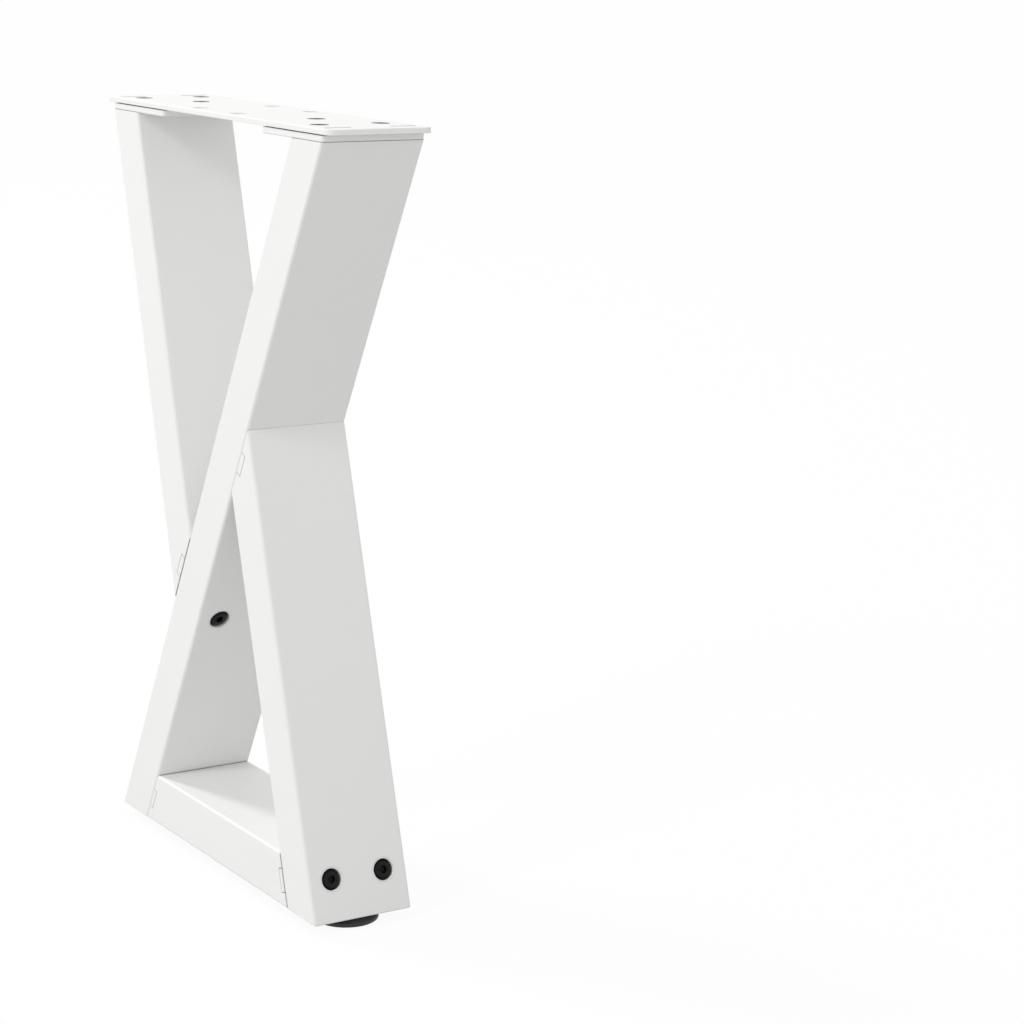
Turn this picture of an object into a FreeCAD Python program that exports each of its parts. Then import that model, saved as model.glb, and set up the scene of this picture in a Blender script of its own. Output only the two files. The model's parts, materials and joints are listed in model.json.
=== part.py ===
"""X shaped steel table leg that comes apart.

One long diagonal tube runs from the foot on the left to the head on the right. Two short
struts butt against it, a bar joins both feet, and a drilled plate across the head takes the
table top. Millimetres, +Z up. The origin lies on the floor under the middle of the plate,
+X points to the right end of the leg and -Y to its front.
"""
import FreeCAD, Part
import os
import re
from collections import namedtuple

import Sketcher

doc = FreeCAD.newDocument("x_table_leg")
sheet = doc.addObject("Spreadsheet::Sheet", "sizes")

# Driving sizes, in millimetres
SIZES = {
    # Rectangular tube of all four members
    "tube_depth": 60,
    "tube_face": 30,
    "tube_wall": 1.5,
    "tube_corner": 1.5,
    "end_edge": 0.5,
    # Outline of the leg, heights counted from the lower ends of the tubes
    "frame_height": 417,
    "bottom_span": 242,
    "top_span": 248,
    "upper_joint_height": 144,
    "lower_joint_height": 257,
    # Plate for the table top
    "plate_overhang_x": 8,
    "plate_overhang_y": 0.5,
    "plate_thickness": 3,
    "plate_corner": 4,
    "plate_edge": 0.6,
    "top_hole_diameter": 9.5,
    "top_hole_pitch_x": 44,
    "top_hole_pitch_y": 44,
    "hole_shift": -4.5,
    # Pads welded on the tube heads, with tabs that reach up into slots of the plate
    "pad_length": 65,
    "pad_thickness": 4,
    "pad_edge": 0.4,
    "rebate_depth": 2.5,
    "rebate_height": 0.6,
    "tab_length": 15,
    "tab_width": 3,
    "tab_inset": 3.5,
    "tab_pitch": 38,
    "tab_sink": 0.4,
    # Countersunk screws, three for each pad
    "plate_screw_diameter": 5,
    "plate_screw_head": 9.6,
    "plate_screw_sink": 0.3,
    "plate_socket": 3,
    "plate_socket_depth": 1.6,
    "outer_screw_inset": 20,
    "outer_screw_pitch": 36,
    "inner_screw_inset": 56,
    # Button head screws of the four tube joints
    "joint_screw_pitch": 32,
    "bar_screw_drop": 1.5,
    "screw_diameter": 6,
    "screw_hole": 6.6,
    "screw_head": 11.2,
    "screw_head_height": 3.3,
    "screw_head_bevel": 1.1,
    "socket": 4,
    "socket_depth": 2.2,
    "screw_point": 0.8,
    "nut_overrun": 0.8,
    # Turned cups, welded into the tube, that sink the screw heads
    "cup_bore": 11.9,
    "cup_wall": 0.8,
    "cup_seat_depth": 3.9,
    "cup_floor": 2.2,
    "cup_lip": 0.3,
    # Nut plates that close the bar's ends, and their weld nuts
    "nut_plate": 3,
    "seam_tab": 13,
    "nut_width": 10,
    "nut_height": 5,
    # Hook plates that close the struts' lower or upper ends and reach into the diagonal
    "hook_plate": 4,
    "hook_bar": 6,
    "hook_setback": 6,
    "hook_below": 4,
    "hook_neck_start": 14,
    "hook_neck": 8,
    "hook_neck_width": 40,
    "hook_bar_width": 50,
    "hook_tip_gap": 0.7,
    # Levelling feet
    "foot_reveal": 6,
    "foot_diameter": 36,
    "foot_shift": 4,
    "foot_round": 1,
    "foot_rim": 2.4,
    "foot_shoulder": 2,
    "foot_floor": 1.5,
    "foot_gap": 0.3,
    "stud_diameter": 8,
    "stud_reach": 22,
    "stud_point": 1,
    "foot_plate": 3,
    "foot_nut_width": 13,
    "foot_nut_height": 6.5,
    # Clearances
    "fit": 0.1,
    "running_fit": 0.05,
    "notch_gap": 0.3,
    "seam_gap": 0.3,
    "slot_gap": 0.25,
}

# What follows from them: the leans of the members, and where they meet
DERIVED = {
    "half_sum": "(bottom_span + top_span) / 2",
    "diagonal_lean": "acos(tube_face / hypot(half_sum; frame_height)) - atan(frame_height / half_sum)",
    "upper_run": "(top_span - bottom_span) / 2 + upper_joint_height * tan(diagonal_lean)",
    "upper_lean": "atan(upper_run / (frame_height - upper_joint_height))",
    "diagonal_cut": "tube_face / cos(diagonal_lean)",
    "lower_run": "bottom_span - diagonal_cut - lower_joint_height * tan(diagonal_lean)",
    "lower_lean": "atan(lower_run / lower_joint_height)",
    "lower_cut": "tube_face / cos(lower_lean)",
    "upper_angle": "diagonal_lean + upper_lean",
    "lower_angle": "diagonal_lean + lower_lean",
    "frame_top": "foot_reveal + frame_height",
    "plate_underside": "frame_top + pad_thickness",
    "plate_half_length": "top_span / 2 + plate_overhang_x",
    "plate_half_depth": "tube_depth / 2 + plate_overhang_y",
    "bore_depth": "tube_depth - 2 * tube_wall",
    "seat_plane": "tube_face - cup_seat_depth",
    "cup_radius": "cup_bore / 2 + cup_wall",
    "left_foot_x": "-bottom_span / 2 + diagonal_cut / 2 + foot_shift",
    "right_foot_x": "bottom_span / 2 - lower_cut / 2 - foot_shift",
}


def fill_sheet():
    """Write the driving sizes as numbers and the derived ones as formulas."""
    cells = {alias: str(value) for alias, value in SIZES.items()}
    cells.update({alias: "=" + formula for alias, formula in DERIVED.items()})
    for row, (alias, content) in enumerate(cells.items(), start=1):
        sheet.set(f"A{row}", alias)
        sheet.set(f"B{row}", content)
        sheet.setAlias(f"B{row}", alias)
    doc.recompute()


ALIAS_WORDS = re.compile(r"\b(" + "|".join([*SIZES, *DERIVED]) + r")\b")


def sized(formula):
    """The formula with each alias looked up in the sheet."""
    return ALIAS_WORDS.sub(r"sizes.\1", formula)


# A frame is where a member or a joint has its own zero, and how far it is turned about +Y.
# Inside a member's frame the tube runs along z and its narrow face lies across x.
Frame = namedtuple("Frame", "x z turn")

WORLD = Frame("0", "0", "0 deg")
DIAGONAL = Frame("-bottom_span / 2", "foot_reveal", "diagonal_lean")
UPPER = Frame("-top_span / 2", "frame_top", "-upper_lean")
LOWER = Frame("bottom_span / 2", "foot_reveal", "-lower_lean")
BAR = Frame("0", "foot_reveal", "0 deg")

# In a joint's frame x = 0 is the face where two tubes meet. The tube that ends there lies at
# x < 0, the tube that passes lies at x > 0, and the screw heads sit in its far face.
UPPER_JOINT = Frame(
    "(-bottom_span / 2 + upper_joint_height * tan(diagonal_lean))",
    "(foot_reveal + upper_joint_height)",
    "diagonal_lean")
LOWER_JOINT = Frame(
    "(-bottom_span / 2 + diagonal_cut + lower_joint_height * tan(diagonal_lean))",
    "(foot_reveal + lower_joint_height)",
    "(diagonal_lean + 180 deg)")
BAR_LEFT = Frame(
    "(-bottom_span / 2 + diagonal_cut + tube_face / 2 * tan(diagonal_lean))",
    "(foot_reveal + tube_face / 2)",
    "(diagonal_lean + 180 deg)")
BAR_RIGHT = Frame(
    "(bottom_span / 2 - lower_cut - tube_face / 2 * tan(lower_lean))",
    "(foot_reveal + tube_face / 2)",
    "(-lower_lean)")


def across(point, source, target):
    """A point of one frame, as formulas in another frame."""
    x, z = point
    turn = f"({source.turn} - ({target.turn}))"
    gap_x = f"({source.x} - ({target.x}))"
    gap_z = f"({source.z} - ({target.z}))"
    cos_t, sin_t = f"cos({target.turn})", f"sin({target.turn})"
    new_x = f"{gap_x} * {cos_t} - {gap_z} * {sin_t} + ({x}) * cos({turn}) + ({z}) * sin({turn})"
    new_z = f"{gap_x} * {sin_t} + {gap_z} * {cos_t} - ({x}) * sin({turn}) + ({z}) * cos({turn})"
    return new_x, new_z


def place(thing, frame, x="0", y="0", z="0"):
    """Stand a body in a frame, at x, y, z of that frame."""
    world_x, world_z = across((x, z), frame, WORLD)
    thing.Placement = FreeCAD.Placement(
        FreeCAD.Vector(0, 0, 0), FreeCAD.Rotation(FreeCAD.Vector(0, 1, 0), 10))
    thing.setExpression("Placement.Rotation.Angle", sized(frame.turn))
    thing.setExpression("Placement.Base.x", sized(world_x))
    thing.setExpression("Placement.Base.y", sized(y))
    thing.setExpression("Placement.Base.z", sized(world_z))


def new_body(label):
    body = doc.addObject("PartDesign::Body", label)
    body.Label = label
    return body


def new_sketch(body, role, name, offset=None):
    """A sketch on an origin plane of its body, moved along the plane's normal by offset."""
    sketch = body.newObject("Sketcher::SketchObject", name)
    plane = next(item for item in body.Origin.OriginFeatures if item.Role == role)
    sketch.AttachmentSupport = (plane, "")
    sketch.MapMode = "FlatFace"
    if offset:
        sketch.setExpression("AttachmentOffset.Base.z", sized(offset))
    return sketch


def pin_point(sketch, edge, end, rough, x, y):
    """Hold one end of an edge at x, y from the sketch's zero."""
    across_id = sketch.addConstraint(
        Sketcher.Constraint("DistanceX", -1, 1, edge, end, rough.x))
    sketch.setExpression(f"Constraints[{across_id}]", sized(x))
    up_id = sketch.addConstraint(Sketcher.Constraint("DistanceY", -1, 1, edge, end, rough.y))
    sketch.setExpression(f"Constraints[{up_id}]", sized(y))


def draw_outline(sketch, corners):
    """A closed outline through corners given as pairs of formulas."""
    count = len(corners)
    first = sketch.GeometryCount
    spin = FreeCAD.Rotation(FreeCAD.Vector(0, 0, 1), 360 / count)
    rough = [FreeCAD.Vector(10, 0, 0)]
    while len(rough) < count:
        rough.append(spin.multVec(rough[-1]))
    for i in range(count):
        sketch.addGeometry(Part.LineSegment(rough[i], rough[(i + 1) % count]), False)
    for i in range(count):
        following = first + (i + 1) % count
        sketch.addConstraint(Sketcher.Constraint("Coincident", first + i, 2, following, 1))
    for i, (x, y) in enumerate(corners):
        pin_point(sketch, first + i, 1, rough[i], x, y)


def draw_box(sketch, x_low, x_high, y_low, y_high):
    corners = [(x_low, y_low), (x_high, y_low), (x_high, y_high), (x_low, y_high)]
    draw_outline(sketch, corners)


def draw_circle(sketch, x, y, diameter):
    middle = FreeCAD.Vector(0, 0, 0)
    edge = sketch.addGeometry(Part.Circle(middle, FreeCAD.Vector(0, 0, 1), 5), False)
    pin_point(sketch, edge, 3, middle, x, y)
    width = sketch.addConstraint(Sketcher.Constraint("Diameter", edge, 10))
    sketch.setExpression(f"Constraints[{width}]", sized(diameter))


def draw_hexagon(sketch, width):
    """A hexagon about the sketch's zero, from the width across its flats."""
    flat, corner = f"{width} / 2", f"{width} / sqrt(3)"
    half = f"{corner} / 2"
    corners = [("0", corner), (flat, half), (flat, f"-{half}"),
               ("0", f"-{corner}"), (f"-{flat}", f"-{half}"), (f"-{flat}", half)]
    draw_outline(sketch, corners)


def pad(body, sketch, length):
    """Thicken a sketch by half the length to each side of its plane."""
    feature = body.newObject("PartDesign::Pad", sketch.Name + "_pad")
    feature.Profile = sketch
    feature.SideType = "Symmetric"
    feature.setExpression("Length", sized(length))
    return finished(body, feature)


def pocket(body, sketch, length):
    """Cut a sketch out by half the length to each side of its plane, and check that it cut."""
    before = body.Tip.Shape.Volume
    feature = body.newObject("PartDesign::Pocket", sketch.Name + "_cut")
    feature.Profile = sketch
    feature.SideType = "Symmetric"
    feature.setExpression("Length", sized(length))
    finished(body, feature)
    if feature.Shape.Volume >= before:
        raise RuntimeError(f"{feature.Name} cuts nothing")
    return feature


def turn_profile(body, sketch, axis):
    """Revolve a half profile about an axis of its own sketch."""
    feature = body.newObject("PartDesign::Revolution", sketch.Name + "_turned")
    feature.Profile = sketch
    feature.ReferenceAxis = (sketch, [axis])
    feature.Angle = 360
    return finished(body, feature)


def soften(body, edges, size, kind="Fillet"):
    """Round or chamfer edges of the body's last feature."""
    base = body.Tip
    feature = body.newObject("PartDesign::" + kind, f"{base.Name}_{kind.lower()}")
    feature.Base = (base, edges)
    feature.setExpression("Radius" if kind == "Fillet" else "Size", sized(size))
    return finished(body, feature)


def finished(body, feature):
    body.Tip = feature
    doc.recompute()
    return feature


def edges_where(body, test):
    """Names of the edges of the body's last feature that pass a test."""
    edges = body.Tip.Shape.Edges
    return [f"Edge{number}" for number, edge in enumerate(edges, start=1) if test(edge)]


def is_straight_along(edge, axis):
    if edge.Curve.TypeId != "Part::GeomLine":
        return False
    return abs(edge.Curve.Direction.dot(axis)) > 0.9999


def is_level_at(edge, height):
    low, high = edge.BoundBox.ZMin, edge.BoundBox.ZMax
    return abs(low - height) < 0.01 and abs(high - height) < 0.01


def millimetres(alias):
    """The present value of one size."""
    return float(sheet.get(alias))


AXIS_Y = FreeCAD.Vector(0, 1, 0)
AXIS_Z = FreeCAD.Vector(0, 0, 1)


def mirrored_pair(label, body):
    """The body and its mirror image across the leg's middle plane, as one node."""
    twin = doc.addObject("Part::Mirroring", label + "_twin")
    twin.Source = body
    twin.Base = FreeCAD.Vector(0, 0, 0)
    twin.Normal = AXIS_Y
    return group(label, [body, twin])


def group(label, members):
    bundle = doc.addObject("Part::Compound", label + "_group")
    bundle.Links = members
    bundle.Label = label
    return bundle


# Tubes

def new_tube(label, frame, outline, x_low, foot_end=False):
    """A rectangular tube, mitred to its side outline, with its narrow face from x_low."""
    body = new_body(label)
    side = new_sketch(body, "XZ_Plane", label + "_side")
    draw_outline(side, outline)
    pad(body, side, "tube_depth")
    along = AXIS_Z if frame is not BAR else FreeCAD.Vector(1, 0, 0)
    soften(body, edges_where(body, lambda edge: is_straight_along(edge, along)), "tube_corner")
    if foot_end:
        top = millimetres("tube_face")
        rim = edges_where(body, lambda edge: edge.BoundBox.ZMax < top)
        soften(body, rim, "end_edge", "Chamfer")
    bore = new_sketch(body, "XY_Plane" if frame is not BAR else "YZ_Plane", label + "_bore")
    low, high = f"{x_low} + tube_wall", f"{x_low} + tube_face - tube_wall"
    if frame is BAR:
        draw_box(bore, "-bore_depth / 2", "bore_depth / 2", low, high)
    else:
        draw_box(bore, low, high, "-bore_depth / 2", "bore_depth / 2")
    pocket(body, bore, "4 * (frame_height + bottom_span)")
    place(body, frame)
    return body


def cut_screw_holes(body, name, member, joint, height, depth_x, diameter):
    """Two holes across one wall of a member, for the screws of a joint."""
    x, z = across((depth_x, height), joint, member)
    holes = new_sketch(body, "YZ_Plane", name, offset=x)
    for side in ("-", ""):
        draw_circle(holes, f"{side}joint_screw_pitch / 2", z, diameter)
    pocket(body, holes, "4 * tube_wall")


def cut_cup_holes(body, name, member, joint, height):
    cut_screw_holes(body, name, member, joint, height, "tube_face", "2 * (cup_radius + running_fit)")


def cut_hook_slot(body, name, member, joint):
    """The slot in the wall of the diagonal that a hook plate's neck goes through."""
    x, low = across(("0", "hook_neck_start - fit"), joint, member)
    high = across(("0", "hook_neck_start + hook_neck + fit"), joint, member)[1]
    slot = new_sketch(body, "YZ_Plane", name, offset=x)
    half = "hook_neck_width / 2 + fit"
    draw_box(slot, f"-({half})", half, low, high)
    pocket(body, slot, "4 * tube_wall")


def cut_seam_notch(body, name, member, joint, middle, plate):
    """Notches in the front and rear wall where a closing plate's tabs come through."""
    reach = "(seam_tab / 2 + notch_gap)"
    inner = f"-{plate} - notch_gap"
    corners = [(inner, f"{middle} - {reach}"), ("fit", f"{middle} - {reach}"),
               ("fit", f"{middle} + {reach}"), (inner, f"{middle} + {reach}")]
    notch = new_sketch(body, "XZ_Plane", name)
    draw_outline(notch, [across(corner, joint, member) for corner in corners])
    pocket(body, notch, "2 * tube_depth")


UPPER_SEAM = "tube_face / sin(upper_angle)"
LOWER_SEAM = "tube_face / sin(lower_angle)"

# The bar's screws sit below its middle. The frame of its left joint is upside down.
LEFT_DROP = "bar_screw_drop"
RIGHT_DROP = "(-bar_screw_drop)"


def make_long_diagonal():
    long_side = "frame_height / cos(diagonal_lean)"
    mitre = "tube_face * tan(diagonal_lean)"
    outline = [("0", "0"), ("tube_face", mitre), ("tube_face", f"{long_side} + {mitre}"),
               ("0", long_side)]
    body = new_tube("long_diagonal", DIAGONAL, outline, "0", foot_end=True)
    cut_cup_holes(body, "bar_left_cup_holes", DIAGONAL, BAR_LEFT, LEFT_DROP)
    cut_screw_holes(body, "bar_left_holes", DIAGONAL, BAR_LEFT, LEFT_DROP, "0", "screw_hole")
    cut_cup_holes(body, "upper_cup_holes", DIAGONAL, UPPER_JOINT, "hook_setback")
    cut_hook_slot(body, "upper_hook_slot", DIAGONAL, UPPER_JOINT)
    cut_cup_holes(body, "lower_cup_holes", DIAGONAL, LOWER_JOINT, "hook_setback")
    cut_hook_slot(body, "lower_hook_slot", DIAGONAL, LOWER_JOINT)
    return body


def make_upper_strut():
    length = "(frame_height - upper_joint_height) / cos(upper_lean)"
    outline = [("0", "0"), ("0", f"-{length}"),
               ("tube_face", f"-{length} + tube_face / tan(upper_angle)"),
               ("tube_face", "-tube_face * tan(upper_lean)")]
    body = new_tube("upper_strut", UPPER, outline, "0")
    cut_seam_notch(body, "upper_notch", UPPER, UPPER_JOINT, UPPER_SEAM + " / 2", "hook_plate")
    return body


def make_lower_strut():
    length = "lower_joint_height / cos(lower_lean)"
    outline = [("0", "0"), ("0", length), ("-tube_face", f"{length} - tube_face / tan(lower_angle)"),
               ("-tube_face", "tube_face * tan(lower_lean)")]
    body = new_tube("lower_strut", LOWER, outline, "-tube_face", foot_end=True)
    cut_cup_holes(body, "bar_right_cup_holes", LOWER, BAR_RIGHT, RIGHT_DROP)
    cut_screw_holes(body, "bar_right_holes", LOWER, BAR_RIGHT, RIGHT_DROP, "0", "screw_hole")
    cut_seam_notch(body, "lower_notch", LOWER, LOWER_JOINT, LOWER_SEAM + " / 2", "hook_plate")
    return body


def make_bottom_bar():
    left = "-bottom_span / 2 + diagonal_cut"
    right = "bottom_span / 2 - lower_cut"
    outline = [(left, "0"), (right, "0"), (f"{right} - tube_face * tan(lower_lean)", "tube_face"),
               (f"{left} + tube_face * tan(diagonal_lean)", "tube_face")]
    body = new_tube("bottom_bar", BAR, outline, "0")
    cut_seam_notch(body, "bar_left_notch", BAR, BAR_LEFT, "0", "nut_plate")
    cut_seam_notch(body, "bar_right_notch", BAR, BAR_RIGHT, "0", "(nut_plate + seam_gap)")
    return body


# Closing plates of the tube ends

def make_nut_plate(label, joint, lean, drop, recess="0"):
    """A plate let into an end of the bar, with two tabs that show in the seam."""
    body = new_body(label)
    face = new_sketch(body, "YZ_Plane", label + "_face")
    half_y, tab_y = "bore_depth / 2 - fit", "tube_depth / 2"
    set_in = f"(nut_plate + {recess}) * tan({lean})"
    half_z = f"(tube_face / 2 - tube_wall) / cos({lean}) - {set_in} - fit"
    tab_z = "seam_tab / 2"
    upper = [(tab_y, tab_z), (half_y, tab_z), (half_y, half_z)]
    right = [(y, f"-({z})") for y, z in reversed(upper)] + upper
    left = [(f"-({y})", z) for y, z in reversed(right)]
    draw_outline(face, right + left)
    for side in ("-", ""):
        draw_circle(face, f"{side}joint_screw_pitch / 2", drop, "screw_hole")
    pad(body, face, "nut_plate")
    place(body, joint, x=f"-{recess} - nut_plate / 2")
    return body


def make_hook_plate(label, joint, seam, angle):
    """A plate that closes a strut, with a neck and a tapped bar inside the diagonal."""
    body = new_body(label)
    wall_cut = f"tube_wall / sin({angle})"
    low, high = f"{wall_cut} + hook_plate / tan({angle}) + fit", f"{seam} - {wall_cut} - fit"
    closing = new_sketch(body, "XZ_Plane", label + "_closing")
    draw_box(closing, "-hook_plate", "0", low, high)
    pad(body, closing, "bore_depth - 2 * fit")
    tabs = new_sketch(body, "XZ_Plane", label + "_tabs")
    draw_box(tabs, "-hook_plate", "0", f"{seam} / 2 - seam_tab / 2", f"{seam} / 2 + seam_tab / 2")
    pad(body, tabs, "tube_depth")
    neck_end = "hook_neck_start + hook_neck"
    inner = "tube_wall + running_fit"
    neck = new_sketch(body, "XZ_Plane", label + "_neck")
    draw_box(neck, "-hook_plate / 2", f"{inner} + hook_bar / 2", "hook_neck_start", neck_end)
    pad(body, neck, "hook_neck_width")
    bar = new_sketch(body, "XZ_Plane", label + "_bar")
    draw_box(bar, inner, f"{inner} + hook_bar", "-hook_below", neck_end)
    pad(body, bar, "hook_bar_width")
    tapped = new_sketch(body, "YZ_Plane", label + "_tapped", offset=f"{inner} + hook_bar / 2")
    for side in ("-", ""):
        draw_circle(tapped, f"{side}joint_screw_pitch / 2", "hook_setback", "screw_diameter")
    pocket(body, tapped, "hook_bar + tube_wall")
    place(body, joint)
    return body


# Screws, cups and nuts of the tube joints

def make_cups(label, joint, height):
    """Two turned cups, welded into the outer wall of the tube that passes."""
    body = new_body(label + "_front")
    half = new_sketch(body, "XZ_Plane", label + "_profile")
    outline = [("-cup_floor", "screw_hole / 2"), ("-cup_floor", "cup_radius"),
               ("cup_seat_depth", "cup_radius"), ("cup_seat_depth", "cup_bore / 2 + cup_lip"),
               ("cup_seat_depth - cup_lip", "cup_bore / 2"), ("0", "cup_bore / 2"),
               ("0", "screw_hole / 2")]
    draw_outline(half, outline)
    turn_profile(body, half, "H_Axis")
    place(body, joint, x="seat_plane", y="-joint_screw_pitch / 2", z=height)
    return mirrored_pair(label, body)


def make_screws(label, joint, shank, height):
    """Two button head screws with their heads sunk in the cups."""
    body = new_body(label + "_front")
    half = new_sketch(body, "XZ_Plane", label + "_profile")
    radius = "(screw_diameter / 2 - running_fit)"
    outline = [(f"-({shank})", "0"), (f"-({shank})", f"{radius} - screw_point"),
               (f"-({shank}) + screw_point", radius), ("0", radius), ("0", "screw_head / 2"),
               ("screw_head_height", "screw_head / 2"), ("screw_head_height", "0")]
    draw_outline(half, outline)
    turn_profile(body, half, "H_Axis")
    rim = millimetres("screw_head_height")
    soften(body, edges_where(body, lambda edge: is_rim(edge, rim)), "screw_head_bevel", "Chamfer")
    socket = new_sketch(body, "YZ_Plane", label + "_socket", offset="screw_head_height")
    draw_hexagon(socket, "socket")
    pocket(body, socket, "2 * socket_depth")
    place(body, joint, x="seat_plane", y="-joint_screw_pitch / 2", z=height)
    return mirrored_pair(label, body)


def is_rim(edge, x):
    """Whether an edge is the circle at x on a part turned about the X axis."""
    if edge.Curve.TypeId != "Part::GeomCircle":
        return False
    return abs(edge.BoundBox.XMin - x) < 0.01 and abs(edge.BoundBox.XMax - x) < 0.01


def make_weld_nuts(label, joint, drop, recess="0"):
    body = new_body(label + "_front")
    face = new_sketch(body, "YZ_Plane", label + "_face")
    draw_hexagon(face, "nut_width")
    draw_circle(face, "0", "0", "screw_diameter")
    pad(body, face, "nut_height")
    behind = f"-{recess} - nut_plate - nut_height / 2"
    place(body, joint, x=behind, y="-joint_screw_pitch / 2", z=drop)
    return mirrored_pair(label, body)


# Head of the leg

TAB_X = "(top_span / 2 - tab_inset)"
OUTER_X = "(top_span / 2 - outer_screw_inset)"
INNER_X = "(top_span / 2 - inner_screw_inset)"


def plate_screw_places(side):
    """The three screws of one pad: two over the tube, one over the pad's inner end."""
    outer = f"{side}{OUTER_X} + hole_shift"
    return [(outer, "-outer_screw_pitch / 2"), (outer, "outer_screw_pitch / 2"),
            (f"{side}{INNER_X} + hole_shift", "0")]


def draw_tabs(sketch, side, grow):
    for row in ("-", ""):
        middle = f"{row}tab_pitch / 2"
        half_x, half_y = f"(tab_width / 2 + {grow})", f"(tab_length / 2 + {grow})"
        draw_box(sketch, f"{side}{TAB_X} - {half_x}", f"{side}{TAB_X} + {half_x}",
                 f"{middle} - {half_y}", f"{middle} + {half_y}")


def make_top_plate():
    """The drilled plate that the table top is screwed to from below."""
    body = new_body("top_plate")
    face = new_sketch(body, "XY_Plane", "plate_face", offset="plate_thickness / 2")
    draw_box(face, "-plate_half_length", "plate_half_length", "-plate_half_depth",
             "plate_half_depth")
    pad(body, face, "plate_thickness")
    corners = edges_where(body, lambda edge: is_straight_along(edge, AXIS_Z))
    soften(body, corners, "plate_corner")
    top = millimetres("plate_thickness")
    soften(body, edges_where(body, lambda edge: is_level_at(edge, top)), "plate_edge")
    holes = new_sketch(body, "XY_Plane", "top_holes")
    for x in ("-top_hole_pitch_x / 2 + hole_shift", "top_hole_pitch_x / 2 + hole_shift"):
        for y in ("-top_hole_pitch_y / 2", "top_hole_pitch_y / 2"):
            draw_circle(holes, x, y, "top_hole_diameter")
    pocket(body, holes, "4 * plate_thickness")
    screw_holes = new_sketch(body, "XY_Plane", "plate_screw_holes")
    for side in ("-", ""):
        for x, y in plate_screw_places(side):
            draw_circle(screw_holes, x, y, "plate_screw_diameter + 4 * fit")
    pocket(body, screw_holes, "4 * plate_thickness")
    bore = millimetres("plate_screw_diameter") / 2 + 2 * millimetres("fit")
    soften(body, edges_where(body, lambda edge: is_bore_at(edge, top, bore)),
           "(plate_screw_head - plate_screw_diameter) / 2 + plate_screw_sink - 1.5 * fit", "Chamfer")
    slots = new_sketch(body, "XY_Plane", "tab_slots")
    for side in ("-", ""):
        draw_tabs(slots, side, "slot_gap")
    pocket(body, slots, "4 * plate_thickness")
    place(body, WORLD, z="plate_underside")
    return body


def is_bore_at(edge, height, radius):
    if edge.Curve.TypeId != "Part::GeomCircle" or not is_level_at(edge, height):
        return False
    return abs(edge.Curve.Radius - radius) < 0.01


def draw_pad_box(sketch, side, inset):
    """The outline of a pad, drawn in by inset all round."""
    ends = [f"{side}(top_span / 2 - {inset})", f"{side}(top_span / 2 - pad_length + {inset})"]
    left, right = ends if side == "-" else reversed(ends)
    half_y = f"(tube_depth / 2 - {inset})"
    draw_box(sketch, left, right, f"-{half_y}", half_y)


def make_mount_pad(label, side):
    """A pad that closes a tube's head and carries the plate, rebated below it all round."""
    body = new_body(label)
    face = new_sketch(body, "XY_Plane", label + "_face", offset="pad_thickness / 2")
    draw_pad_box(face, side, "0")
    pad(body, face, "pad_thickness")
    soften(body, edges_where(body, lambda edge: is_straight_along(edge, AXIS_Z)), "tube_corner")
    soften(body, edges_where(body, lambda edge: is_level_at(edge, 0)), "pad_edge", "Chamfer")
    rebate = new_sketch(body, "XY_Plane", label + "_rebate", offset="pad_thickness")
    draw_pad_box(rebate, side, "(-fit)")
    draw_pad_box(rebate, side, "rebate_depth")
    pocket(body, rebate, "2 * rebate_height")
    tapped = new_sketch(body, "XY_Plane", label + "_tapped")
    for x, y in plate_screw_places(side):
        draw_circle(tapped, x, y, "plate_screw_diameter")
    pocket(body, tapped, "4 * pad_thickness")
    tabs = new_sketch(body, "XY_Plane", label + "_tabs", offset="pad_thickness")
    draw_tabs(tabs, side, "0")
    pad(body, tabs, "2 * (plate_thickness - tab_sink)")
    place(body, WORLD, z="frame_top")
    return body


def make_plate_screws(label, side):
    """Three countersunk screws that hold the plate to one pad."""
    screws = []
    for number, (x, y) in enumerate(plate_screw_places(side), start=1):
        body = new_body(f"{label}_{number}")
        half = new_sketch(body, "XZ_Plane", f"{label}_profile_{number}")
        radius = "(plate_screw_diameter / 2 - running_fit)"
        head = "plate_screw_head / 2"
        length = "(plate_thickness + pad_thickness - plate_screw_sink)"
        outline = [("0", "0"), (head, "0"), (radius, f"{radius} - {head}"),
                   (radius, f"-{length}"), ("0", f"-{length}")]
        draw_outline(half, outline)
        turn_profile(body, half, "V_Axis")
        socket = new_sketch(body, "XY_Plane", f"{label}_socket_{number}")
        draw_hexagon(socket, "plate_socket")
        pocket(body, socket, "2 * plate_socket_depth")
        place(body, WORLD, x=x, y=y, z="plate_underside + plate_thickness - plate_screw_sink")
        screws.append(body)
    return group(label, screws)


# Feet

def make_foot_plate(label, side, lean, foot_x):
    """A tapped plate that closes a tube's lower end, cut to the lean of its walls."""
    body = new_body(label)
    edge = new_sketch(body, "XZ_Plane", label + "_edge")
    corner = f"{side}bottom_span / 2"
    inwards = "+" if side == "-" else "-"
    near = f"{corner} {inwards} (tube_wall + fit) / cos({lean})"
    far = f"{corner} {inwards} (tube_face - tube_wall - fit) / cos({lean})"
    rise = f"{inwards} foot_plate * tan({lean})"
    outline = [(near, "0"), (far, "0"), (f"{far} {rise}", "foot_plate"),
               (f"{near} {rise}", "foot_plate")]
    draw_outline(edge, outline)
    pad(body, edge, "bore_depth - 2 * fit")
    bore = new_sketch(body, "XY_Plane", label + "_bore")
    draw_circle(bore, foot_x, "0", "stud_diameter")
    pocket(body, bore, "4 * foot_plate")
    place(body, WORLD, z="foot_reveal")
    return body


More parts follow.
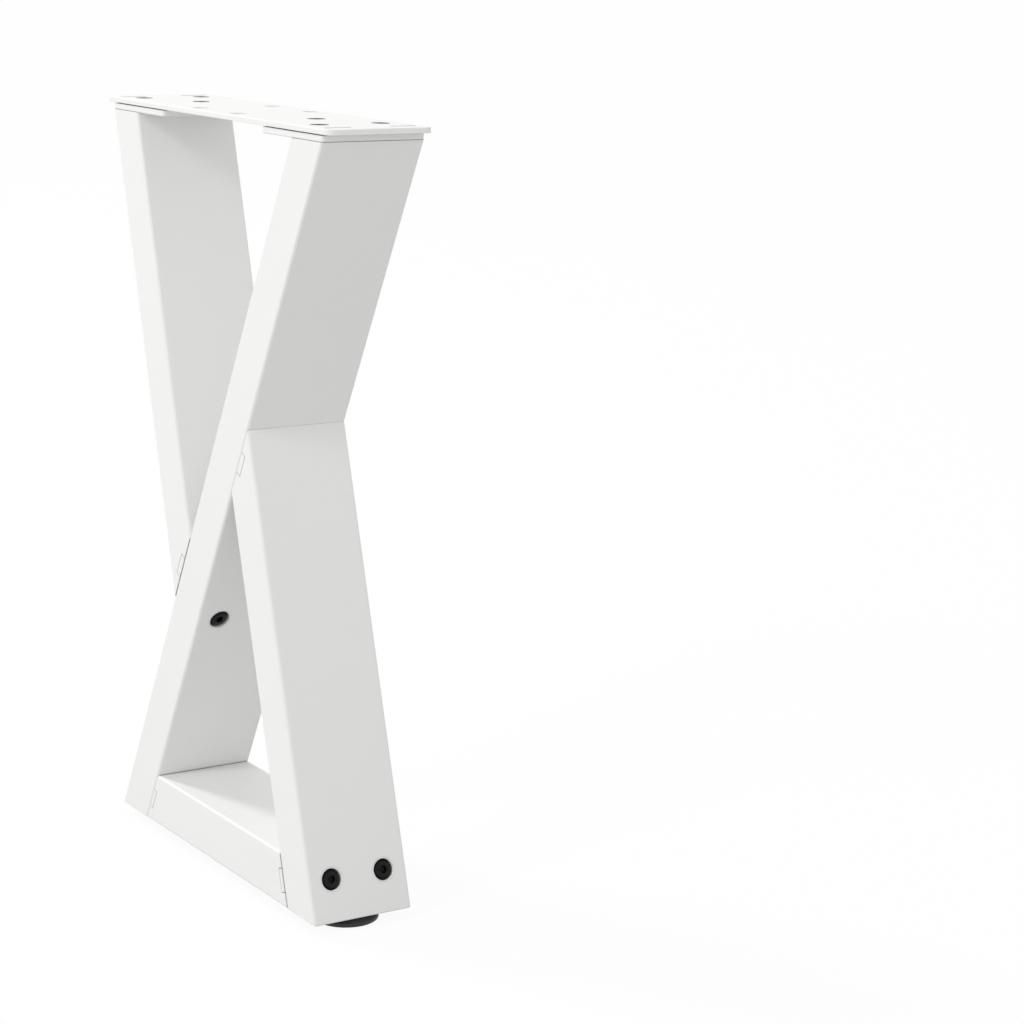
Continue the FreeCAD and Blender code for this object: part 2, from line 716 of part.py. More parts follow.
def make_foot_nut(label, foot_x):
    """A weld nut on top of the foot plate, its flats turned to the tube's walls."""
    body = new_body(label)
    face = new_sketch(body, "XY_Plane", label + "_face")
    draw_hexagon(face, "foot_nut_width")
    draw_circle(face, "0", "0", "stud_diameter")
    pad(body, face, "foot_nut_height")
    place(body, WORLD, x=foot_x, z="foot_reveal + foot_plate + foot_nut_height / 2")
    return body


def make_foot_stud(label, foot_x):
    """The screw that carries a foot and sets its height."""
    body = new_body(label)
    half = new_sketch(body, "XZ_Plane", label + "_profile")
    radius, top = "(stud_diameter / 2 - running_fit)", "foot_reveal + stud_reach"
    outline = [("0", "foot_floor"), (radius, "foot_floor"), (radius, f"{top} - stud_point"),
               (f"{radius} - stud_point", top), ("0", top)]
    draw_outline(half, outline)
    turn_profile(body, half, "V_Axis")
    place(body, WORLD, x=foot_x)
    return body


def make_foot_base(label, foot_x):
    """The moulded base that stands on the floor, with the stud's head set in it."""
    body = new_body(label)
    half = new_sketch(body, "XZ_Plane", label + "_profile")
    radius, stud, top = "foot_diameter / 2", "stud_diameter / 2", "foot_reveal - foot_gap"
    outline = [("0", "0"), (f"{radius} - foot_round", "0"), (radius, "foot_round"),
               (radius, "foot_rim"), (f"{radius} - foot_shoulder", top),
               (stud, top), (stud, "foot_floor"), ("0", "foot_floor")]
    draw_outline(half, outline)
    turn_profile(body, half, "V_Axis")
    place(body, WORLD, x=foot_x)
    return body


def make_leg():
    """Every separate piece of the leg."""
    bar_shank = "seat_plane + nut_plate + nut_height + nut_overrun"
    hook_shank = "seat_plane - tube_wall - hook_tip_gap"
    pieces = [
        make_long_diagonal(),
        make_upper_strut(),
        make_lower_strut(),
        make_bottom_bar(),
        make_hook_plate("upper_hook_plate", UPPER_JOINT, UPPER_SEAM, "upper_angle"),
        make_hook_plate("lower_hook_plate", LOWER_JOINT, LOWER_SEAM, "lower_angle"),
        make_nut_plate("bar_left_nut_plate", BAR_LEFT, "diagonal_lean", LEFT_DROP),
        make_nut_plate("bar_right_nut_plate", BAR_RIGHT, "lower_lean", RIGHT_DROP, "seam_gap"),
        make_weld_nuts("bar_left_weld_nuts", BAR_LEFT, LEFT_DROP),
        make_weld_nuts("bar_right_weld_nuts", BAR_RIGHT, RIGHT_DROP, "seam_gap"),
        make_cups("upper_joint_cups", UPPER_JOINT, "hook_setback"),
        make_cups("lower_joint_cups", LOWER_JOINT, "hook_setback"),
        make_cups("bar_left_cups", BAR_LEFT, LEFT_DROP),
        make_cups("bar_right_cups", BAR_RIGHT, RIGHT_DROP),
        make_screws("upper_joint_screws", UPPER_JOINT, hook_shank, "hook_setback"),
        make_screws("lower_joint_screws", LOWER_JOINT, hook_shank, "hook_setback"),
        make_screws("bar_left_screws", BAR_LEFT, bar_shank, LEFT_DROP),
        make_screws("bar_right_screws", BAR_RIGHT, bar_shank + " + seam_gap", RIGHT_DROP),
        make_mount_pad("left_mount_pad", "-"),
        make_mount_pad("right_mount_pad", ""),
        make_top_plate(),
        make_plate_screws("left_plate_screws", "-"),
        make_plate_screws("right_plate_screws", ""),
        make_foot_plate("left_foot_plate", "-", "diagonal_lean", "left_foot_x"),
        make_foot_plate("right_foot_plate", "", "lower_lean", "right_foot_x"),
    ]
    for end in ("left", "right"):
        foot_x = f"{end}_foot_x"
        pieces.append(make_foot_nut(f"{end}_foot_nut", foot_x))
        pieces.append(make_foot_stud(f"{end}_foot_stud", foot_x))
        pieces.append(make_foot_base(f"{end}_foot_base", foot_x))
    return pieces


def check_document(pieces):
    """Stop before anything is written if an object failed or a shape is bad."""
    failed = [item.Name for item in doc.Objects if {"Invalid", "Error"} & set(item.State)]
    if failed:
        raise RuntimeError(f"failed objects: {failed}")
    for piece in pieces:
        if piece.Shape.isNull() or not piece.Shape.isValid():
            raise RuntimeError(f"bad shape: {piece.Label}")


fill_sheet()
leg = make_leg()
doc.recompute()
check_document(leg)
os.makedirs("parts", exist_ok=True)
for piece in leg:
    piece.Shape.exportStep(f"parts/{piece.Label}.step")
    print(f"{piece.Label}: {len(piece.Shape.Solids)} solid, {piece.Shape.Volume:.0f} mm3")
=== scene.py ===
"""The looks of an X shaped table leg of white steel tube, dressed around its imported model."""
import json
import math

import bmesh
import bpy
from mathutils import Matrix, Vector


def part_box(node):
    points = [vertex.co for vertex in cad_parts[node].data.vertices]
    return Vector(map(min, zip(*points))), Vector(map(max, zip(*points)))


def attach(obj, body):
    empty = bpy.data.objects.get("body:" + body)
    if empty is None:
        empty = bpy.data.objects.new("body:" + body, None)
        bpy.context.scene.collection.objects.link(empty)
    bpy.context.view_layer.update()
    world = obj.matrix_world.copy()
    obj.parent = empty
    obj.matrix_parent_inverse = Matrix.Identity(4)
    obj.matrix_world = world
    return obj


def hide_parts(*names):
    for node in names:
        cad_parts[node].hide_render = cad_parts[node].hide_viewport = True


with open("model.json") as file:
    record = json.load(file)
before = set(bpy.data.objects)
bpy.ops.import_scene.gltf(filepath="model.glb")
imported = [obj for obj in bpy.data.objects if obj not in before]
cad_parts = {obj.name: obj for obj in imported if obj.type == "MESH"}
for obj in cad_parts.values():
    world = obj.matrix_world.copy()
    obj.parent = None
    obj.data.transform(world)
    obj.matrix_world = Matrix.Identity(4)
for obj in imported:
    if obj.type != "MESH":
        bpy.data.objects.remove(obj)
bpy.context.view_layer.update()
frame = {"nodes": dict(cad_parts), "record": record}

nodes = frame["nodes"]


# Powder coat on every steel piece that is sprayed white: tubes, pads, plates and cups.
# The film is a satin white with the fine orange peel of baked powder. In the narrow gaps
# where two pieces meet, its colour is darkened by an ambient occlusion mask: painted shade.
PEEL_SCALE, WAVE_SCALE, CLOUD_SCALE = 620.0, 150.0, 9.0
PEEL_SHARE, WAVE_SHARE = 0.7, 0.3
PEEL_HEIGHT = 0.00006
SOFT_EDGE_RADIUS = 0.0004
GAP_WIDTH = 0.001
GAP_CONTRAST, GAP_START = 1.5, 0.3
COAT_DULL = (0.836, 0.836, 0.824, 1)
COAT_BRIGHT = (0.851, 0.851, 0.840, 1)
COAT_PAINTED_GAP_SHADE = (0.22, 0.22, 0.216, 1)


class Shade:
    """A socket of one material's node tree, with operators that add Math nodes."""

    def __init__(self, tree, socket):
        self.tree = tree
        self.socket = socket

    def node(self, kind, settings=None, output=0, **inputs):
        """Add a node of a kind, with its settings and then its inputs, and return an output.

        An input is named as on the node, with _ for a space, or by i and its number.
        """
        made = self.tree.nodes.new(kind)
        for name, value in (settings or {}).items():
            setattr(made, name, value)
        for name, value in inputs.items():
            key = int(name[1:]) if name[1:].isdigit() else name.replace("_", " ")
            if isinstance(value, Shade):
                self.tree.links.new(value.socket, made.inputs[key])
            else:
                made.inputs[key].default_value = value
        return Shade(self.tree, made.outputs[output])

    def mix(self, share, first, second):
        """A colour between two others."""
        return self.node("ShaderNodeMix", {"data_type": "RGBA"}, output=2, i0=share, i6=first,
                         i7=second)

    def math(self, operation, other, swap=False):
        first, second = (other, self) if swap else (self, other)
        return self.node("ShaderNodeMath", {"operation": operation}, i0=first, i1=second)

    def __add__(self, other):
        return self.math("ADD", other)

    __radd__ = __add__

    def __mul__(self, other):
        return self.math("MULTIPLY", other)

    __rmul__ = __mul__

    def __sub__(self, other):
        return self.math("SUBTRACT", other)

    def __rsub__(self, other):
        return self.math("SUBTRACT", other, swap=True)


def new_material(name):
    """An empty material and the Object coordinates in its tree."""
    material = bpy.data.materials.new(name)
    material.use_nodes = True
    tree = material.node_tree
    tree.nodes.clear()
    start = Shade(tree, None)
    place = start.node("ShaderNodeTexCoord", output="Object")
    return material, place


def surface(material, shader):
    """Link a shader to a material's output."""
    end = material.node_tree.nodes.new("ShaderNodeOutputMaterial")
    material.node_tree.links.new(shader.socket, end.inputs["Surface"])
    return material


def make_powder_coat():
    material, place = new_material("white_powder_coat")
    peel = place.node("ShaderNodeTexNoise", Vector=place, Scale=PEEL_SCALE, Detail=2.0,
                      Roughness=0.45)
    waves = place.node("ShaderNodeTexNoise", Vector=place, Scale=WAVE_SCALE, Detail=1.0)
    cloud = place.node("ShaderNodeTexNoise", Vector=place, Scale=CLOUD_SCALE, Detail=2.0)
    height = peel * PEEL_SHARE + waves * WAVE_SHARE
    soft_edge = place.node("ShaderNodeBevel", {"samples": 4}, Radius=SOFT_EDGE_RADIUS)
    bump = place.node("ShaderNodeBump", Height=height, Strength=0.35, Distance=PEEL_HEIGHT,
                      Normal=soft_edge)
    film = place.mix(cloud, COAT_DULL, COAT_BRIGHT)
    # Painted shade: the coat's colour is mixed towards dark grey where ambient occlusion finds a
    # narrow gap or crease.
    open_air = place.node("ShaderNodeAmbientOcclusion", {"samples": 8}, output="AO",
                          Distance=GAP_WIDTH)
    shade = (1 - open_air) * GAP_CONTRAST - GAP_START
    painted_gap_shade = shade.math("MAXIMUM", 0.0).math("MINIMUM", 1.0)
    colour = place.mix(painted_gap_shade, film, COAT_PAINTED_GAP_SHADE)
    coat = place.node("ShaderNodeBsdfPrincipled", Base_Color=colour, Roughness=0.48 + peel * 0.08,
                      Normal=bump, Specular_IOR_Level=0.35)
    return surface(material, coat)


powder_coat = make_powder_coat()
white_nodes = [s["node"] for s in frame["record"]["subparts"] if s["material_slot"] == "white_coat"]


def dress(node, material):
    """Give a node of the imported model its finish."""
    node.data.materials.clear()
    node.data.materials.append(material)


for name in white_nodes:
    dress(nodes[name], powder_coat)


# Button head screws, two for each tube joint, of M6 steel blackened in hot oxide and oiled.
# The head is cold formed with a domed top and a hexagon socket, the thread is rolled. They
# sit in cups in the outer wall of one tube and draw up the plate inside the other.
HEAD_RADIUS = 0.0056
HEAD_HEIGHT = 0.0033
DOME_HEIGHT = 0.0037
DOME_FOOT = 0.0009
DOME_FLAT = 0.0029
DOME_STEPS = 7
SMOOTH_ANGLE = math.radians(38)
THREAD_SMOOTH_ANGLE = math.radians(30)
M6_SOCKET = 0.004
M6_SOCKET_DEPTH = 0.003
DRILL_POINT, DRILL_TIP = 1 / 8, 0.1
M6_PITCH = 0.001
M6_RADIUS = 0.00295
HEAD_EDGE = 0.00012
SECOND_SOCKET_TURN = 0.45
THREAD_DEPTH, THREAD_FLANK, THREAD_LAND = 0.61, 0.4, 0.1
THREAD_TIP = 0.84
THREAD_IN_HEAD = 0.0003
TURN_STEPS = 24
OXIDE_DARK = (0.004, 0.004, 0.0043, 1)
OXIDE_LIGHT = (0.008, 0.008, 0.0087, 1)


def add_piece(name, add, **settings):
    """Add a primitive with nothing else selected and open it in edit mode."""
    bpy.ops.object.select_all(action="DESELECT")
    add(**settings)
    piece = bpy.context.active_object
    piece.name = piece.data.name = name
    bpy.ops.object.mode_set(mode="EDIT")
    return piece


def edit(piece):
    """Open a finished mesh in edit mode again, alone."""
    bpy.ops.object.select_all(action="DESELECT")
    piece.select_set(True)
    bpy.context.view_layer.objects.active = piece
    bpy.ops.object.mode_set(mode="EDIT")


def choose_faces(piece, test):
    """Select the faces of a piece in edit mode whose middle and normal pass a test."""
    bpy.ops.mesh.select_mode(type="FACE")
    bpy.ops.mesh.select_all(action="DESELECT")
    mesh = bmesh.from_edit_mesh(piece.data)
    for face in mesh.faces:
        face.select_set(test(face.calc_center_median(), face.normal))
    bmesh.update_edit_mesh(piece.data)


def raise_face(rise, shrink):
    """Extrude the selected face along Z and draw it in about the Z axis."""
    bpy.ops.mesh.extrude_region_move(TRANSFORM_OT_translate={"value": (0, 0, rise)})
    bpy.ops.transform.resize(value=(shrink, shrink, 1), center_override=(0, 0, 0))


def raise_rings(rings):
    """Extrude the selected round face through rings given as radius and height."""
    for (radius, height), (next_radius, next_height) in zip(rings, rings[1:]):
        raise_face(next_height - height, next_radius / radius)


def use_modifier(piece, kind, **settings):
    """Put a modifier on a piece and apply it."""
    bpy.context.view_layer.objects.active = piece
    modifier = piece.modifiers.new(kind.lower(), kind)
    for name, value in settings.items():
        setattr(modifier, name, value)
    bpy.ops.object.modifier_apply(modifier=modifier.name)


def close_shell(piece, width):
    """Turn the faces outwards, soften the sharp edges and smooth the rest."""
    bpy.ops.mesh.select_all(action="SELECT")
    bpy.ops.mesh.normals_make_consistent(inside=False)
    bpy.ops.object.mode_set(mode="OBJECT")
    use_modifier(piece, "BEVEL", width=width, segments=2, limit_method="ANGLE",
                 angle_limit=SMOOTH_ANGLE)
    bpy.ops.object.shade_smooth_by_angle(angle=SMOOTH_ANGLE)


def cut_socket(piece, across_flats, top, depth):
    """Cut a hexagon socket with a shallow drilled point into the top of a screw head."""
    corner = across_flats / math.sqrt(3)
    cutter = add_piece("cutter", bpy.ops.mesh.primitive_cylinder_add, vertices=6, radius=corner,
                       depth=2 * depth, location=(0, 0, top))
    choose_faces(cutter, lambda middle, normal: normal.z < -0.9)
    raise_face(-corner * DRILL_POINT, DRILL_TIP)
    bpy.ops.object.mode_set(mode="OBJECT")
    use_modifier(piece, "BOOLEAN", object=cutter, operation="DIFFERENCE", solver="EXACT")
    bpy.data.objects.remove(cutter)


def roll_thread(name, radius, pitch, low, high):
    """A threaded rod about the Z axis: one turn of its profile, swept up and cut to length."""
    depth, flank, land = THREAD_DEPTH * pitch, THREAD_FLANK * pitch, THREAD_LAND * pitch
    weld = pitch / 1000
    rod = add_piece(name, bpy.ops.mesh.primitive_plane_add, size=pitch, location=(0, 0, 0))
    bpy.ops.mesh.select_mode(type="VERT")
    bpy.ops.mesh.select_all(action="SELECT")
    bpy.ops.mesh.merge(type="CENTER")
    bpy.ops.transform.translate(value=(radius - depth, 0, low - pitch))
    for step in ((depth, 0, flank), (0, 0, land), (-depth, 0, flank), (0, 0, land)):
        bpy.ops.mesh.extrude_region_move(TRANSFORM_OT_translate={"value": step})
    bpy.ops.object.mode_set(mode="OBJECT")
    use_modifier(rod, "SCREW", axis="Z", angle=math.tau, steps=TURN_STEPS, render_steps=TURN_STEPS,
                 screw_offset=pitch, iterations=math.ceil((high - low) / pitch) + 2)
    bpy.ops.object.mode_set(mode="EDIT")
    bpy.ops.mesh.select_all(action="SELECT")
    bpy.ops.mesh.remove_doubles(threshold=weld)
    for height in (low, high):
        bpy.ops.mesh.select_all(action="SELECT")
        bpy.ops.mesh.bisect(plane_co=(0, 0, height), plane_no=(0, 0, 1), use_fill=True,
                            clear_inner=height == low, clear_outer=height == high,
                            threshold=weld)
    choose_faces(rod, lambda middle, normal: abs(middle.z - low) < weld)
    bpy.ops.transform.resize(value=(THREAD_TIP, THREAD_TIP, 1), center_override=(0, 0, 0))
    bpy.ops.mesh.select_all(action="SELECT")
    bpy.ops.mesh.normals_make_consistent(inside=False)
    bpy.ops.object.mode_set(mode="OBJECT")
    bpy.ops.object.shade_smooth_by_angle(angle=THREAD_SMOOTH_ANGLE)
    return rod


def join(name, pieces):
    """Join pieces into one, with its place in its mesh."""
    bpy.ops.object.select_all(action="DESELECT")
    for piece in pieces:
        piece.select_set(True)
    bpy.context.view_layer.objects.active = pieces[0]
    if len(pieces) > 1:
        bpy.ops.object.join()
    bpy.ops.object.transform_apply(location=True, rotation=True, scale=True)
    pieces[0].name = pieces[0].data.name = name
    return pieces[0]


def finish_piece(piece, material, slot, body, *replaced):
    """Give a modelled piece its finish and its body, and hide the nodes that it stands for."""
    piece.data.materials.clear()
    piece.data.materials.append(material)
    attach(piece, body)
    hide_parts(*replaced)


def copy_to(piece, matrix):
    """A copy of a piece with its own mesh, stood in another place."""
    twin = piece.copy()
    twin.data = piece.data.copy()
    bpy.context.scene.collection.objects.link(twin)
    twin.matrix_world = matrix
    return twin


def make_button_screw(name, length):
    """A button head screw whose head stands on z = 0 and whose thread runs down from it."""
    head = add_piece(name, bpy.ops.mesh.primitive_circle_add, vertices=2 * TURN_STEPS,
                     radius=HEAD_RADIUS, fill_type="NGON", location=(0, 0, 0))
    rings = [(HEAD_RADIUS, 0), (HEAD_RADIUS, DOME_FOOT)]
    for step in range(1, DOME_STEPS + 1):
        turn = step * math.pi / 2 / DOME_STEPS
        rings.append((DOME_FLAT + (HEAD_RADIUS - DOME_FLAT) * math.cos(turn),
                      DOME_FOOT + (DOME_HEIGHT - DOME_FOOT) * math.sin(turn)))
    raise_rings(rings)
    bpy.ops.mesh.select_all(action="SELECT")
    bpy.ops.mesh.normals_make_consistent(inside=False)
    bpy.ops.object.mode_set(mode="OBJECT")
    cut_socket(head, M6_SOCKET, DOME_HEIGHT, M6_SOCKET_DEPTH)
    edit(head)
    close_shell(head, HEAD_EDGE)
    thread = roll_thread(name + "_thread", M6_RADIUS, M6_PITCH, -length, THREAD_IN_HEAD)
    return join(name, [head, thread])


def make_black_oxide():
    material, place = new_material("black_oxide")
    grain = place.node("ShaderNodeTexNoise", Vector=place, Scale=1800.0, Detail=2.0)
    film = place.node("ShaderNodeTexNoise", Vector=place, Scale=260.0, Detail=2.0)
    bump = place.node("ShaderNodeBump", Height=grain, Strength=0.2, Distance=0.00003)
    colour = place.mix(film, OXIDE_DARK, OXIDE_LIGHT)
    oxide = place.node("ShaderNodeBsdfPrincipled", Base_Color=colour, Roughness=0.34 + film * 0.14,
                       Normal=bump, Specular_IOR_Level=0.16)
    return surface(material, oxide)


def extent(node, direction):
    """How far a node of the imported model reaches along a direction, at the back and in front."""
    reach = [vertex.co.dot(direction) for vertex in node.data.vertices]
    return min(reach), max(reach)


black_oxide = make_black_oxide()
DIAGONAL_LEAN = math.radians(26.88)
LOWER_LEAN = math.radians(16.9)
joint_turns = {"upper_joint": DIAGONAL_LEAN, "lower_joint": DIAGONAL_LEAN + math.pi,
               "bar_left": DIAGONAL_LEAN + math.pi, "bar_right": -LOWER_LEAN}
for joint, turn in joint_turns.items():
    node = nodes[joint + "_screws"]
    out = Vector((math.cos(turn), 0, -math.sin(turn)))
    over = Vector((math.sin(turn), 0, math.cos(turn)))
    tip, top = extent(node, out)
    seat = out * (top - HEAD_HEIGHT) + over * (sum(extent(node, over)) / 2)
    half_pitch = extent(node, Vector((0, 1, 0)))[1] - HEAD_RADIUS
    screw = make_button_screw(joint + "_button_screws", top - HEAD_HEIGHT - tip)
    axes = Matrix((Vector((0, 1, 0)), out.cross(Vector((0, 1, 0))), out)).transposed().to_4x4()
    pair = []
    for y, socket_turn in ((-half_pitch, 0), (half_pitch, SECOND_SOCKET_TURN)):
        place = Matrix.Translation(seat + Vector((0, y, 0))) @ axes
        pair.append(copy_to(screw, place @ Matrix.Rotation(socket_turn, 4, "Z")))
    bpy.data.objects.remove(screw)
    pair = join(joint + "_button_screws", pair)
    finish_piece(pair, black_oxide, "black_screw", "frame", joint + "_screws")


# Countersunk screws, M5 with a hexagon socket, three for each pad. They are black oxide
# steel too. They hold the plate down on the pads and end level with its top, so that the
# table top lies flat on it.
CONE_RADIUS = 0.005
CONE_RIM = 0.0002
CONE_NECK = 0.0006
CONE_EDGE = 0.00008
SOCKET_TURN = 0.7
M5_SOCKET = 0.003
M5_SOCKET_DEPTH = 0.0016
M5_RADIUS = 0.00245
M5_PITCH = 0.0008
PLATE_TOP = 0.430
SUNK = 0.00005
plate_screws = {"left": ((-0.1085, -0.018), (-0.1085, 0.018), (-0.0725, 0)),
                "right": ((0.0995, -0.018), (0.0995, 0.018), (0.0635, 0))}


def make_countersunk_screw(name, length):
    """A countersunk screw whose flat top lies on z = 0 and whose thread runs down from it."""
    head = add_piece(name, bpy.ops.mesh.primitive_circle_add, vertices=2 * TURN_STEPS,
                     radius=CONE_RADIUS, fill_type="NGON", location=(0, 0, 0))
    cone = CONE_RADIUS - M5_RADIUS
    raise_rings([(CONE_RADIUS, 0), (CONE_RADIUS, -CONE_RIM), (M5_RADIUS, -CONE_RIM - cone),
                 (M5_RADIUS, -CONE_RIM - CONE_NECK - cone)])
    bpy.ops.mesh.select_all(action="SELECT")
    bpy.ops.mesh.normals_make_consistent(inside=False)
    bpy.ops.object.mode_set(mode="OBJECT")
    cut_socket(head, M5_SOCKET, 0, M5_SOCKET_DEPTH)
    edit(head)
    close_shell(head, CONE_EDGE)
    thread = roll_thread(name + "_thread", M5_RADIUS, M5_PITCH, -length,
                         -CONE_RIM - THREAD_IN_HEAD - cone)
    return join(name, [head, thread])


for side, places in plate_screws.items():
    node = side + "_plate_screws"
    screw = make_countersunk_screw(side + "_countersunk_screw", PLATE_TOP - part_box(node)[0][2])
    row = []
    for number, (x, y) in enumerate(places):
        place = Matrix.Translation((x, y, PLATE_TOP - SUNK))
        row.append(copy_to(screw, place @ Matrix.Rotation(SOCKET_TURN * number, 4, "Z")))
    bpy.data.objects.remove(screw)
    row = join(side + "_countersunk_screws", row)
    finish_piece(row, black_oxide, "black_screw", "frame", node)


# Levelling feet. Each is a disc moulded of black plastic around the end of a zinc plated M8
# stud, which turns in the plate and the weld nut inside the tube. The disc has a rounded lower
# edge, a straight rim, a sloping shoulder, a groove around the stud and a hollow underneath.
M8_RADIUS = 0.00395
M8_PITCH = 0.00125
DISC_SIDES = 72
TOE = 0.001
LOWER_EDGE = ((TOE, 0), (0.0006, 0.0001), (0.0002, 0.0004), (0, 0.0009))
RIM_HEIGHT = 0.0024
SHOULDER = 0.0018
SOFT_CORNER = 0.0003
HOLLOW_INSET, HOLLOW_DEPTH = 0.0035, 0.0007
STUD_BORE = 0.00405
BORE_FLOOR = 0.0015
GROOVE_OUTER, GROOVE_INNER = 0.0085, 0.0061
GROOVE_DEPTH = 0.0009
TOUCH = 1e-6
DISC_EDGE = 0.0001
PLASTIC_DARK = (0.009, 0.009, 0.0097, 1)
PLASTIC_LIGHT = (0.015, 0.015, 0.016, 1)
ZINC_BLUE = (0.58, 0.60, 0.63, 1)
ZINC_GREY = (0.68, 0.68, 0.68, 1)


def make_foot_disc(name, x, radius, top):
    """The moulded disc of one foot, with its rings from the floor up and a bore for the stud."""
    disc = add_piece(name, bpy.ops.mesh.primitive_circle_add, vertices=DISC_SIDES,
                     radius=radius - TOE, fill_type="NGON", location=(0, 0, 0))
    rings = [(radius - inset, height) for inset, height in LOWER_EDGE]
    rings += [(radius, RIM_HEIGHT), (radius - SOFT_CORNER, RIM_HEIGHT + SOFT_CORNER),
              (radius - SHOULDER, top - SOFT_CORNER), (radius - SHOULDER - SOFT_CORNER, top),
              (GROOVE_OUTER, top), (GROOVE_OUTER - SOFT_CORNER, top - GROOVE_DEPTH),
              (GROOVE_INNER + SOFT_CORNER, top - GROOVE_DEPTH), (GROOVE_INNER, top),
              (STUD_BORE, top), (STUD_BORE, BORE_FLOOR)]
    raise_rings(rings)
    choose_faces(disc, lambda middle, normal: abs(middle.z) < TOUCH)
    raise_rings([(radius - TOE, 0), (radius - HOLLOW_INSET, 0),
                 (radius - HOLLOW_INSET - SOFT_CORNER, HOLLOW_DEPTH)])
    close_shell(disc, DISC_EDGE)
    disc.location = (x, 0, 0)
    return join(name, [disc])


def make_black_plastic():
    material, place = new_material("black_plastic")
    grain = place.node("ShaderNodeTexNoise", Vector=place, Scale=1500.0, Detail=3.0)
    flow = place.node("ShaderNodeTexNoise", Vector=place, Scale=90.0, Detail=2.0)
    bump = place.node("ShaderNodeBump", Height=grain, Strength=0.3, Distance=0.00005)
    colour = place.mix(flow, PLASTIC_DARK, PLASTIC_LIGHT)
    plastic = place.node("ShaderNodeBsdfPrincipled", Base_Color=colour,
                         Roughness=0.42 + grain * 0.15, Normal=bump)
    return surface(material, plastic)


def make_zinc():
    material, place = new_material("bright_zinc")
    grain = place.node("ShaderNodeTexNoise", Vector=place, Scale=900.0, Detail=2.0)
    film = place.node("ShaderNodeTexNoise", Vector=place, Scale=120.0, Detail=3.0)
    colour = place.mix(film, ZINC_BLUE, ZINC_GREY)
    zinc = place.node("ShaderNodeBsdfPrincipled", Base_Color=colour, Metallic=1.0,
                      Roughness=0.26 + grain * 0.15)
    return surface(material, zinc)


black_plastic = make_black_plastic()
zinc = make_zinc()
for side in ("left", "right"):
    low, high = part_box(side + "_foot_base")
    x = (low[0] + high[0]) / 2
    disc = make_foot_disc(side + "_foot_disc", x, (high[0] - low[0]) / 2, high[2])
    finish_piece(disc, black_plastic, "black_plastic", side + "_foot", side + "_foot_base")
    low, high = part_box(side + "_foot_stud")
    stud = roll_thread(side + "_foot_screw", M8_RADIUS, M8_PITCH, -high[2], -low[2])
    stud.location = (x, 0, 0)
    stud.rotation_euler = (math.pi, 0, 0)
    finish_piece(join(side + "_foot_screw", [stud]), zinc, "zinc_steel", side + "_foot",
                 side + "_foot_stud")


# Nuts, welded behind the bar's end plates and on the foot plates. They keep the bright
# zinc they come with, because they lie inside the tubes.
for name, node in nodes.items():
    if name.endswith(("_nut", "_nuts")):
        dress(node, zinc)


# The studio: a pale floor, a white world that is darker overhead, and two soft boxes high
# up, one in front of the leg and one on its left.
FLOOR_RADIUS = 4
FLOOR_SIDES = 96
FLOOR_GREY = (0.57, 0.57, 0.57, 1)
FLOOR_GLOW = 1.04
FLOOR_GLOW_SHARE = 0.9
SKY_AT_HORIZON = 1.06
SKY_FALL = 0.5
SKY_SEEN = 0.99
LAMP_AIM = (0, 0, 0.2)


def seen_ray(place):
    """One for a ray that shows the background: to the camera, or by a mirror or glass."""
    rays = [place.node("ShaderNodeLightPath", output=f"Is {kind} Ray")
            for kind in ("Camera", "Glossy", "Transmission")]
    return sum(rays[1:], rays[0]).math("MINIMUM", 1.0)


def make_floor():
    """A grey floor that keeps the shadow, and glows to white where the camera sees it."""
    bpy.ops.object.select_all(action="DESELECT")
    bpy.ops.mesh.primitive_circle_add(vertices=FLOOR_SIDES, radius=FLOOR_RADIUS,
                                      fill_type="NGON", location=(0, 0, 0))
    floor = bpy.context.active_object
    floor.name = "studio_floor"
    material, place = new_material("studio_floor")
    matt = place.node("ShaderNodeBsdfDiffuse", Color=FLOOR_GREY)
    glow = place.node("ShaderNodeEmission", Color=(1, 1, 1, 1), Strength=FLOOR_GLOW)
    blend = place.node("ShaderNodeMixShader", Fac=seen_ray(place) * FLOOR_GLOW_SHARE, i1=matt,
                       i2=glow)
    floor.data.materials.append(surface(material, blend))
    return floor


make_floor()

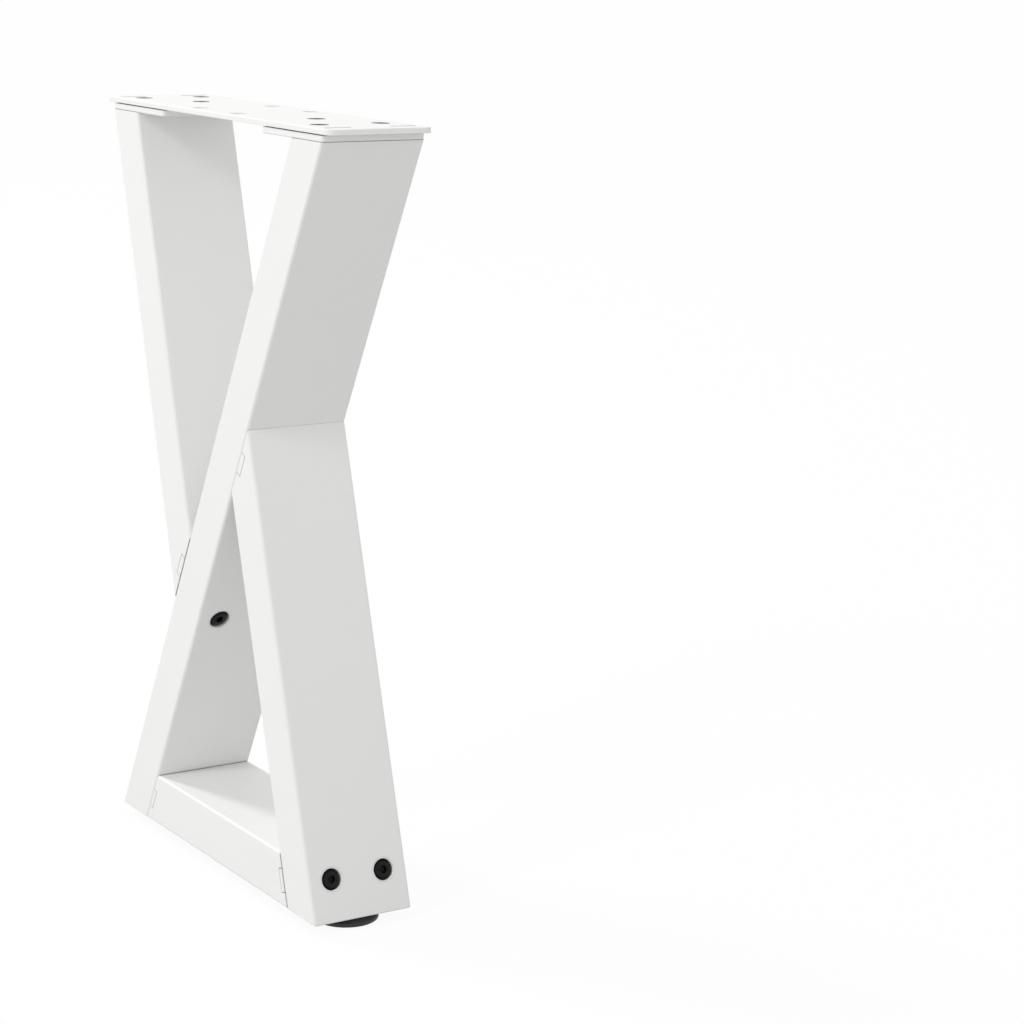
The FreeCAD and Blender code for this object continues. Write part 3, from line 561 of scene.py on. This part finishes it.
world = bpy.context.scene.world or bpy.data.worlds.new("studio")
bpy.context.scene.world = world
world.use_nodes = True
world.node_tree.nodes.clear()
air = Shade(world.node_tree, None)
compass = air.node("ShaderNodeTexCoord", output="Generated")
height = air.node("ShaderNodeSeparateXYZ", output="Z", Vector=compass)
ambient = SKY_AT_HORIZON - height.math("MAXIMUM", 0.0) * SKY_FALL
sky = air.node("ShaderNodeBackground", Color=(1, 1, 1, 1),
               Strength=ambient + seen_ray(air) * (SKY_SEEN - ambient))
sky_end = world.node_tree.nodes.new("ShaderNodeOutputWorld")
world.node_tree.links.new(sky.socket, sky_end.inputs["Surface"])


def add_lamp(name, place, width, watts):
    """A square soft box that points from its place at the middle of the leg."""
    data = bpy.data.lights.new(name, "AREA")
    data.size, data.energy = width, watts
    lamp = bpy.data.objects.new(name, data)
    bpy.context.scene.collection.objects.link(lamp)
    lamp.location = place
    lamp.rotation_euler = (Vector(LAMP_AIM) - Vector(place)).to_track_quat("-Z", "Y").to_euler()


add_lamp("front_soft_box", (0.84, -4.74, 3.8), width=1.2, watts=84)
add_lamp("left_soft_box", (-3.96, -1.68, 4.34), width=0.9, watts=120)


# The camera stands where the photograph was taken from: in front of the leg and further
# round to its right, a hand's breadth above the plate and tilted by about a degree.
CAMERA_AZIMUTH = math.radians(57.06)
CAMERA_ELEVATION = math.radians(12.32)
CAMERA_ROLL = math.radians(1.21)
CAMERA_DISTANCE = 1.2992
CAMERA_TARGET = Vector((0.2598, 0, 0.2572))
CAMERA_LENS = 95.45
CAMERA_SENSOR = 36

back = Vector((math.sin(CAMERA_AZIMUTH) * math.cos(CAMERA_ELEVATION),
               -math.cos(CAMERA_AZIMUTH) * math.cos(CAMERA_ELEVATION), math.sin(CAMERA_ELEVATION)))
right = Vector((0, 0, 1)).cross(back).normalized()
up = back.cross(right)
turned_right = math.cos(CAMERA_ROLL) * right + math.sin(CAMERA_ROLL) * up
turned_up = -math.sin(CAMERA_ROLL) * right + math.cos(CAMERA_ROLL) * up
camera_data = bpy.data.cameras.new("camera")
camera_data.lens = CAMERA_LENS
camera_data.sensor_width = CAMERA_SENSOR
camera = bpy.data.objects.new("camera", camera_data)
bpy.context.scene.collection.objects.link(camera)
camera.matrix_world = Matrix.Translation(CAMERA_TARGET + back * CAMERA_DISTANCE) @ Matrix(
    (turned_right, turned_up, back)).transposed().to_4x4()
bpy.context.scene.camera = camera
bpy.context.scene.view_settings.view_transform = "Standard"
